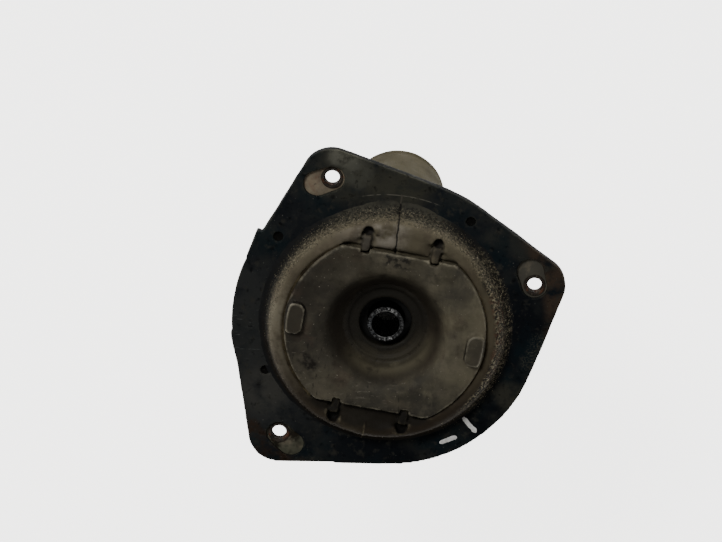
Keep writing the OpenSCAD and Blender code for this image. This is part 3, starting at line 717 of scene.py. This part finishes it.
# levels the picked part of a dense mesh with dust on the +Y side, then evens it out
def softenMesh(mesh, look):
    place, facing = meshPoints(mesh)
    a, b, links = meshLinks(mesh)
    picked = look["where"](place / mm)
    low, high = look["upward"]
    level = picked * np.clip((facing[:, 2] - low) / (high - low), 0, 1) * (place[:, 1] > 0)
    place[:, 2] += level * np.maximum(look["cakedTo"] * mm - place[:, 2], 0)
    for _ in range(look["rounds"]):
        for axis in range(3):
            place[:, axis] += evenShare * picked * (nearMean(place[:, axis], a, b, links) - place[:, axis])
    mesh.vertices.foreach_set("co", place.ravel())
    mesh.update()


# height of the lumps at a place, from pairs of size and depth in mm
def lumpsAt(spot, lumps):
    return sum(depth * noise.noise(spot / size) for size, depth in lumps)


# a ridge, or a groove where its rise is below 0
def ridgeAt(away, half, rise):
    return rise * max(0, 1 - away / half)


# along a curve with three control values or points, at a share from 0 to 1
def curveAt(a, b, c, t):
    return a * (1 - t) ** 2 + b * 2 * t * (1 - t) + c * t ** 2


# one unit out from the strut axis
def sideAt(angle):
    return Vector((math.cos(angle), math.sin(angle), 0))


easeFactor = 0.5  # of Blender's smoothing


# rubber copy of a CAD node: its edges eased as a mould leaves them, its faces lumpy as age leaves them
def castRubber(look):
    source = frame["nodes"][look["node"]]
    rough = bpy.data.objects.new(look["name"] + "Rough", source.data.copy())
    bpy.context.scene.collection.objects.link(rough)
    remesh = rough.modifiers.new("remesh", "REMESH")
    remesh.mode = "VOXEL"
    remesh.voxel_size = look["voxelMm"] * mm
    ease = rough.modifiers.new("ease", "SMOOTH")
    ease.factor = easeFactor
    ease.iterations = look["ease"]
    eased = rough.evaluated_get(bpy.context.evaluated_depsgraph_get())
    mesh = bpy.data.meshes.new_from_object(eased)
    bpy.data.objects.remove(rough)
    mesh.name = look["name"]
    if "soften" in look:
        softenMesh(mesh, look["soften"])
    place, facing = meshPoints(mesh)
    lifts = []
    for point, normal in zip(place / mm, facing):
        spot = Vector(point)
        lifts.append(lumpsAt(spot, look["lumps"]) + look["shape"](spot, normal))
    low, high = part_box(look["node"])
    lifted = place + facing * np.array(lifts)[:, None] * mm
    mesh.vertices.foreach_set("co", np.clip(lifted, low, high).ravel())  # stays inside the node's box
    mesh.update()
    markEdges(mesh, look)
    piece = addPiece(look["name"], mesh, look["body"], finishes[look["finish"]])
    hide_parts(look["node"])
    return piece


# distance in mm from a line on the part, seen along the strut axis
def fromLine(spot, line):
    (x0, y0), (x1, y1) = line
    run = Vector((x1 - x0, y1 - y0))
    along = min(1, max(0, ((spot.x - x0) * run.x + (spot.y - y0) * run.y) / run.length_squared))
    return math.hypot(spot.x - x0 - along * run.x, spot.y - y0 - along * run.y)


# the upper parting has opened, and the lower one carries a line of flash: half widths and rises
seamLook = {"sway": [(5, 0.9)], "split": (1.1, -1.0), "flash": (1.2, 0.5)}


def seamShape(spot, normal):
    if spot.z < 0:
        return 0
    aside = abs(fromLine(spot, seamLine) + lumpsAt(spot, seamLook["sway"]))
    return ridgeAt(aside, *seamLook["split"]) + ridgeAt(fromLine(spot, lowSeamLine), *seamLook["flash"])


# witness line of the mould on the +Y side, and a short raised bar on the +X side
witnessLook = {"lowest": -0.8, "radius": 71, "ridge": (0.8, 0.3), "headings": (64, 101)}
barLook = {"line": ((61.8, -27.2), (68.8, -29.2)), "ridge": (0.9, 0.5)}


def skinShape(spot, normal):
    if spot.z < witnessLook["lowest"]:
        return 0
    bar = ridgeAt(fromLine(spot, barLook["line"]), *barLook["ridge"])
    first, last = witnessLook["headings"]
    if not first < math.degrees(math.atan2(spot.y, spot.x)) < last:
        return bar
    return bar + ridgeAt(abs(math.hypot(spot.x, spot.y) - witnessLook["radius"]), *witnessLook["ridge"])


# rubber flash on the disc's rim
rimLook = {"heights": (4, 12.4), "least": 40, "proud": 0.35, "fade": 0.3}


def rimShape(spot, normal):
    low, high = rimLook["heights"]
    if not low < spot.z < high or math.hypot(spot.x, spot.y) < rimLook["least"]:
        return 0
    return rimLook["proud"] * math.hypot(normal[0], normal[1]) * min(1, (high - spot.z) / rimLook["fade"])


# blocks beside the disc's flats: where they start and end, and how far each edge fades
blockLook = {"flat": (43.6, 1.6), "channel": (4.2, 1.5), "ring": (58.5, 2), "lowest": 5}


# 1 on the blocks, falling to 0 at the rib channels and at the ring
def blockZone(spots):
    angle = math.radians(channelLook["turnDeg"])
    x = spots[:, 0] * math.cos(angle) + spots[:, 1] * math.sin(angle)
    y = np.abs(spots[:, 1] * math.cos(angle) - spots[:, 0] * math.sin(angle))
    flat, flatFade = blockLook["flat"]
    channel, channelFade = blockLook["channel"]
    ring, ringFade = blockLook["ring"]
    past = np.clip((y - flat) / flatFade, 0, 1)
    clear = np.clip((np.abs(np.abs(x) - channelLook["x"]) - channel) / channelFade, 0, 1)
    inside = np.clip((ring - np.hypot(spots[:, 0], spots[:, 1])) / ringFade, 0, 1)
    return clear * past * inside * (spots[:, 2] > blockLook["lowest"])


skinLook = {
    "name": "skinCover", "node": "plate_cover", "body": "mount", "slot": "skin_rubber",
    "finish": "mouldedEpdmSkin", "voxelMm": 0.75, "ease": 2, "shape": skinShape,
    "lumps": [(22, 0.3), (7, 0.14), (2.5, 0.06)], "spread": 2, "gain": 3.2,
}
rubberLook = {
    "name": "bondedRubber", "node": "isolator", "body": "mount", "slot": "isolator_rubber",
    "finish": "dustCakedBondedRubber", "voxelMm": 0.8, "ease": 6, "shape": seamShape,
    "lumps": [(18, 0.35), (6, 0.2), (2.2, 0.1)], "spread": 2, "gain": 3.2,
    "soften": {"where": blockZone, "rounds": 40, "cakedTo": 10.6, "upward": (0.3, 0.7)},
}
discLook = {
    "name": "stopDiscFace", "node": "stop_disc", "body": "mount", "slot": "stop_rubber",
    "finish": "dustyFacedStopDisc", "voxelMm": 0.7, "ease": 3, "shape": rimShape,
    "lumps": [(20, 0.3), (6, 0.14), (2.4, 0.06)], "spread": 2, "gain": 3.2,
}
skinCover = castRubber(skinLook)
bondedRubber = castRubber(rubberLook)
stopDiscFace = castRubber(discLook)
print("rubber cast:", [len(p.data.polygons) for p in (skinCover, bondedRubber, stopDiscFace)])


# closed lathe mesh from a loop of (radius, height) points in mm
def latheMesh(name, loop, segments):
    points = []
    for i in range(segments):
        angle = 2 * math.pi * i / segments
        points += [(r * mm * math.cos(angle), r * mm * math.sin(angle), z * mm) for r, z in loop]
    return closedMesh(name, points, sweptFaces(0, segments, len(loop), True))


def surfaceOf(*pieces):
    points = []
    faces = []
    for piece in pieces:
        start = len(points)
        points += [v.co for v in piece.data.vertices]
        faces += [[start + i for i in p.vertices] for p in piece.data.polygons]
    return BVHTree.FromPolygons(points, faces)


down = Vector((0, 0, -1))
rayHeight = 0.05  # metres above the plate, where the rays start

# rubber run out over the skin at the dome's foot, widest on the +Y side
footLook = {
    "from": 62.2, "corner": 63.9, "to": 67.2, "wide": 3.4, "heading": 84, "spreadDeg": 15,
    "waver": 0.5, "waverScale": 6, "sink": 0.2, "belly": 0.15, "end": -0.35, "root": -0.7,
    "lumps": [(2.2, 0.12)], "steps": 10, "segments": 360,
}


def runOut(look):
    dome = surfaceOf(bondedRubber)
    points = []
    for i in range(look["segments"]):
        angle = 2 * math.pi * i / look["segments"]
        side = sideAt(angle)
        aside = (math.degrees(angle) - look["heading"] + 180) % 360 - 180
        wide = look["wide"] * math.exp(-(aside / look["spreadDeg"]) ** 4)
        end = look["to"] + wide + look["waver"] * noise.noise(side * look["waverScale"])
        top = dome.ray_cast(side * look["from"] * mm + Vector((0, 0, rayHeight)), down)[0].z / mm
        for k in range(look["steps"] + 1):
            t = k / look["steps"]
            height = curveAt(top - look["sink"], look["belly"], look["end"], t)
            spot = side * curveAt(look["from"], look["corner"], end, t) + Vector((0, 0, height))
            points.append((spot + Vector((0, 0, lumpsAt(spot, look["lumps"])))) * mm)
        points.append((side * look["from"] + Vector((0, 0, look["root"]))) * mm)
    faces = sweptFaces(0, look["segments"], look["steps"] + 2, True)
    return addSolid("footRunOut", points, faces, finishes["dustCakedBondedRubber"])


footRunOut = runOut(footLook)
print("rubber run out at the foot")

# dust packed in the gap round the stop disc, where it is round
gapLook = {
    "radii": (51.3, 51.9, 52.5, 53.2, 53.8), "root": 9.4, "steps": 220,
    "lumps": [(5, 0.4), (1.4, 0.25)],
    "arcs": ((116, 223, 10.95), (-64, 43, 10.45)),  # from, to and level
}


def packGap(look):
    points = []
    faces = []
    roots = (look["radii"][-1], look["radii"][0])
    for first, last, level in look["arcs"]:
        start = len(points)
        for i in range(look["steps"] + 1):
            side = sideAt(math.radians(first + (last - first) * i / look["steps"]))
            for radius in look["radii"]:
                spot = side * radius
                points.append((spot + Vector((0, 0, level + lumpsAt(spot, look["lumps"])))) * mm)
            points += [(side * radius + Vector((0, 0, look["root"]))) * mm for radius in roots]
        faces += sweptFaces(start, look["steps"] + 1, len(look["radii"]) + len(roots))
    addSolid("gapDust", points, faces, finishes["packedRoadDust"])


packGap(gapLook)

# blown bellows: round folds between the hub's collar and the smooth cuff
bootLook = {
    "folds": 7, "steps": 14, "roundness": 0.8, "foldDepth": 8.5, "foldTop": -38.1, "foldEnd": -132,
    "wall": 1.6, "cuffR": 26.8, "cuffSteps": 22, "bead": 0.25, "beadH": 4, "beadSteps": 6,
    "lip": 0.5, "lipSteps": 4, "mouthEase": 0.2,
    "hubR": 29.55, "hubEdge": 0.4, "collarR": 31.7, "collarTop": -27.7, "collarEdge": 0.5,
    "neckRows": 4, "neckStep": 3.1,
    "segments": 144, "lumps": [(26, 0.35), (8, 0.12)], "spread": 3, "gain": 2.6,
}


def makeBoot(look):
    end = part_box("dust_boot")[0].z / mm
    cuffR, hubR, collarR, collarTop = [look[key] for key in ("cuffR", "hubR", "collarR", "collarTop")]
    pitch = (look["foldTop"] - look["foldEnd"]) / look["folds"]
    outer = []
    for i in range(look["folds"] * look["steps"] + 1):
        share = i / look["steps"]
        swell = (0.5 - 0.5 * math.cos(2 * math.pi * share)) ** look["roundness"]
        outer.append((cuffR + look["foldDepth"] * swell, look["foldTop"] - share * pitch))
    cuffTop = end + look["beadH"]
    cuffStep = (cuffTop - look["foldEnd"]) / look["cuffSteps"]
    cuff = [(cuffR, look["foldEnd"] + cuffStep * i) for i in range(1, look["cuffSteps"] + 1)]
    lip = look["lip"]
    drop = look["beadH"] - lip
    bead = []
    for i in range(1, look["beadSteps"] + 1):
        angle = math.pi * i / look["beadSteps"]
        bead.append((cuffR + look["bead"] * math.sin(angle), cuffTop - drop * (0.5 - 0.5 * math.cos(angle))))
    for i in range(1, look["lipSteps"] + 1):
        angle = math.pi / 2 * i / look["lipSteps"]
        bead.append((cuffR - lip * (1 - math.cos(angle)), end + lip * (1 - math.sin(angle))))
    mouth = [(cuffR - look["wall"] + look["mouthEase"], end)]
    inner = [(r - look["wall"], z) for r, z in reversed(outer + cuff)]
    edge = look["collarEdge"]
    top = [(hubR, collarTop - look["hubEdge"]), (hubR + edge, collarTop), (collarR - edge, collarTop)]
    neck = [(collarR, collarTop - edge - i * look["neckStep"]) for i in range(look["neckRows"])]
    root = [(hubR, look["foldTop"] + look["hubEdge"])]
    loop = top + neck + outer[1:] + cuff + bead + mouth + inner[:-1] + root
    mesh = latheMesh("bootBellows", loop, look["segments"])
    for vertex in mesh.vertices:
        lift = lumpsAt(vertex.co / mm, look["lumps"])
        vertex.co += Vector((vertex.co.x, vertex.co.y, 0)).normalized() * lift * mm
    mesh.update()
    markEdges(mesh, look)
    piece = addPiece("bootBellows", mesh, "spring_seat", finishes["blownBootRubber"])
    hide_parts("dust_boot")


makeBoot(bootLook)
print("boot blown")

# CAD nodes that keep their shape: edges broken as tumbling or a mould breaks them
nodeLook = {
    "mount_plate": ("rustedPressedSteel", 0.3),
    "weld_nut_1": ("phosphatedWeldNut", 0.3),
    "weld_nut_2": ("phosphatedWeldNut", 0.3),
    "weld_nut_3": ("phosphatedWeldNut", 0.3),
    "core_cup": ("phosphatedCorePressing", 0.5),
    "inner_sleeve": ("sleeveSteelShadedBore", 0.3),
    "bearing_top_case": ("mouldedGlassNylon", 0.35),
    "top_race": ("groundRaceSteel", 0.15),
    "ball_cage": ("mouldedNaturalNylon", 0.2),
    "balls": ("polishedBallSteel", 0),
    "bottom_race": ("groundRaceSteel", 0.15),
    "bearing_bottom_case": ("mouldedGlassNylon", 0.35),
    "inner_seal": ("mouldedNitrileSeal", 0.2),
    "outer_seal": ("mouldedNitrileSeal", 0.2),
    "spring_pad": ("mouldedPadRubber", 0.5),
    "bump_stop": ("foamedStopUrethane", 0.8),
}
edgeLook = {"weldMm": 0.005, "segments": 2, "overDeg": 38}


def dressNodes(look, edges):
    for name, (finish, edge) in look.items():
        node = frame["nodes"][name]
        for place in node.material_slots:
            place.material = finishes[finish]
        weld = node.modifiers.new("weld", "WELD")
        weld.merge_threshold = edges["weldMm"] * mm
        if edge:
            bevel = node.modifiers.new("brokenEdge", "BEVEL")
            bevel.width = edge * mm
            bevel.segments = edges["segments"]
            bevel.angle_limit = math.radians(edges["overDeg"])
        node.modifiers.new("evenNormals", "WEIGHTED_NORMAL")


dressNodes(nodeLook, edgeLook)
print("CAD nodes dressed:", len(nodeLook))

# grains caught on the outer crown of the rubber, thickest on the +X side
gritLook = {
    "seed": 7, "ovalY": 0.972, "sizeMm": (0.09, 0.31), "chip": (0.6, 1.15), "turnRad": 6.28,
    "banks": [  # heading, spread, grains, least and most radius
        (128, 26, 1000, 57, 63.8), (92, 22, 450, 57, 63.8), (50, 20, 600, 57, 64.5),
        (2, 18, 1700, 57.5, 66.5), (-28, 14, 900, 58, 66.5),
        (-60, 30, 200, 57, 63.8), (190, 26, 300, 57, 63.8),
    ],
    "tones": [
        (0.0, "#0b0a08"), (0.45, "#1a1814"), (0.55, "#4c473a"),
        (0.8, "#756e5b"), (0.9, "#4a3427"), (1.0, "#a49c88"),
    ],
    "rough": 0.85, "specular": 0.3,
}


def scatterGrit(look):
    draw = random.Random(look["seed"])
    surface = surfaceOf(bondedRubber, footRunOut, skinCover)
    corners = [Vector(c) for c in ((1, 0, 0), (-1, 0, 0), (0, 1, 0), (0, -1, 0), (0, 0, 1), (0, 0, -1))]
    sides = [(0, 2, 4), (2, 1, 4), (1, 3, 4), (3, 0, 4), (2, 0, 5), (1, 2, 5), (3, 1, 5), (0, 3, 5)]
    points = []
    faces = []
    grains = [bank for bank in look["banks"] for _ in range(bank[2])]
    for middle, spread, _, least, most in grains:
        heading = math.radians(draw.gauss(middle, spread))
        radius = draw.triangular(least, most) * mm
        above = Vector((radius * math.cos(heading), radius * math.sin(heading) / look["ovalY"], rayHeight))
        hit = surface.ray_cast(above, down)[0]
        size = draw.uniform(*look["sizeMm"]) * mm
        turn = Matrix.Rotation(draw.uniform(0, look["turnRad"]), 3, "Z")
        turn = turn @ Matrix.Rotation(draw.uniform(0, look["turnRad"]), 3, "X")
        start = len(points)
        points += [hit + turn @ (c * size * draw.uniform(*look["chip"])) for c in corners]
        faces += [tuple(start + i for i in side) for side in sides]
    addSolid("crownGrit", points, faces, makeGritFinish(look), hardEdge)


scatterGrit(gritLook)
print("grit scattered")

# generic paint pen strokes on the skin
paintLook = {
    "strokes": [
        [(47.5, -60.5), (44.6, -57.2), (40.6, -52.0)],
        [(37.4, -63.2), (33.4, -64.6), (28.4, -66.9)],
    ],
    "width": 2.7, "film": 0.14, "sink": 0.03, "rows": (-1, -0.45, 0.45, 1), "steps": 22,
    "endShare": 0.45, "endRun": 5, "waver": 0.3, "waverMm": 1.6,
}


def paintStrokes(look):
    surface = surfaceOf(skinCover)
    points = []
    faces = []
    for stroke in look["strokes"]:
        a, b, c = [Vector((x, y, 0)) for x, y in stroke]
        start = len(points)
        for i in range(look["steps"] + 1):
            t = i / look["steps"]
            spot = curveAt(a, b, c, t)
            run = ((b - a) * (1 - t) + (c - b) * t).normalized()
            across = Vector((-run.y, run.x, 0))
            taper = min(1, look["endShare"] + look["endRun"] * min(t, 1 - t))
            for side in look["rows"]:
                waver = 1 + look["waver"] * noise.noise(spot / look["waverMm"] + across * side)
                edge = (spot + across * side * look["width"] / 2 * taper * waver) * mm
                hit = surface.ray_cast(Vector((edge.x, edge.y, rayHeight)), down)[0]
                points.append(hit + Vector((0, 0, look["film"] if abs(side) < 1 else -look["sink"])) * mm)
        faces += sweptFaces(start, look["steps"] + 1, len(look["rows"]))
    addSolid("penStrokes", points, faces, finishes["brushedPenPaint"])


paintStrokes(paintLook)

# near-black fill in the mould's pin holes: painted shade for their depth
pinLook = {
    "pins": [(71.6, 52.5), (72.8, 139.3), (68.4, 203)],  # radius and heading
    "radius": 2.7, "rings": 5, "segments": 20,
    "floor": -1.8, "depth": 0.45, "bank": 0.9, "lumps": [(1.1, 0.25)],
}


def shadePinHoles(look):
    ring = look["segments"]
    points = []
    faces = []
    for reach, heading in look["pins"]:
        middle = sideAt(math.radians(heading)) * reach + Vector((0, 0, look["floor"]))
        start = len(points)
        points.append(middle * mm)
        for k in range(1, look["rings"] + 1):
            share = k / look["rings"]
            for i in range(ring):
                spot = middle + sideAt(2 * math.pi * i / ring) * look["radius"] * share
                lump = lumpsAt(Vector((spot.x, spot.y, 0)), look["lumps"])
                points.append((spot + Vector((0, 0, look["bank"] * share ** 3 + lump))) * mm)
        outer, root = start + 1 + (look["rings"] - 1) * ring, len(points)
        points.append((middle - Vector((0, 0, look["depth"]))) * mm)
        for i in range(ring):
            j = (i + 1) % ring
            faces += [(start, start + 1 + i, start + 1 + j), (root, outer + j, outer + i)]
            for k in range(look["rings"] - 1):
                a, b = start + 1 + k * ring, start + 1 + (k + 1) * ring
                faces.append((a + i, b + i, b + j, a + j))
    addSolid("pinHoleShade", points, faces, finishes["packedWetDirt"])


shadePinHoles(pinLook)

# rolled threads in the three weld nuts
threadLook = {
    "pitch": 1.25, "depth": 0.45, "sink": 0.05, "root": 0.5, "crest": 0.08, "steps": 28, "margin": 0.5,
}


def cutThreads(look):
    for i in (1, 2, 3):
        low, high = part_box(f"weld_nut_{i}")
        bolt = next(m for m in frame["record"]["mounts"] if m["name"] == f"bolt_{i}")
        x, y, _ = bolt["pos_m"]
        wall = bolt["dims"]["r_mm"] + look["sink"]
        tip = bolt["dims"]["r_mm"] - look["depth"]
        profile = ((wall, -look["root"]), (tip, -look["crest"]), (tip, look["crest"]), (wall, look["root"]))
        turns = ((high.z - low.z) / mm - 2 * look["margin"]) / look["pitch"]
        rings = int(turns * look["steps"]) + 1
        points = []
        for k in range(rings):
            angle = 2 * math.pi * k / look["steps"]
            rise = low.z / mm + look["margin"] + look["pitch"] * k / look["steps"]
            for r, z in profile:
                points.append((x + r * mm * math.cos(angle), y + r * mm * math.sin(angle), (rise + z) * mm))
        faces = sweptFaces(0, rings, len(profile))
        addSolid(f"nutThread{i}", points, faces, finishes["phosphatedWeldNut"])


cutThreads(threadLook)

# radial serrations that bite under the rod nut
teethLook = {
    "seed": 3, "count": 54, "kept": 0.72, "swayDeg": 4, "sink": 0.05,
    "inner": (7.5, 8.4), "outer": (8.5, 9.4), "height": (0.1, 0.34), "half": (0.2, 0.62),
    "rim": ((7.3, 0.04), (7.6, 0.04), (7.6, -0.1), (7.3, -0.1)),
}
toothFaces = [(0, 3, 4, 1), (1, 4, 5, 2), (0, 1, 2), (3, 5, 4), (0, 2, 5, 3)]


def cutTeeth(look):
    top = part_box("inner_sleeve")[1].z
    points = []
    faces = []
    draw = random.Random(look["seed"])
    keys = ("inner", "outer", "height", "half")
    for i in range(look["count"]):
        heading = 360 * i / look["count"] + look["swayDeg"] * draw.uniform(-1, 1)
        inner, outer, height, half = [draw.uniform(*look[key]) for key in keys]
        if draw.random() > look["kept"]:  # rubbed away by the nut
            continue
        turn = Matrix.Rotation(math.radians(heading), 3, "Z")
        start = len(points)
        for r in (inner, outer):
            for y, z in ((-half, -look["sink"]), (0, height), (half, -look["sink"])):
                points.append(turn @ Vector((r * mm, y * mm, top + z * mm)))
        faces += [tuple(start + k for k in face) for face in toothFaces]
    start = len(points)
    for i in range(look["count"]):
        turn = Matrix.Rotation(2 * math.pi * i / look["count"], 3, "Z")
        points += [turn @ Vector((r * mm, 0, top + z * mm)) for r, z in look["rim"]]
    faces += sweptFaces(start, look["count"], len(look["rim"]), True)
    addSolid("sleeveTeeth", points, faces, finishes["rubbedSleeveSteel"], hardEdge)


cutTeeth(teethLook)
print("paint, threads and teeth made")
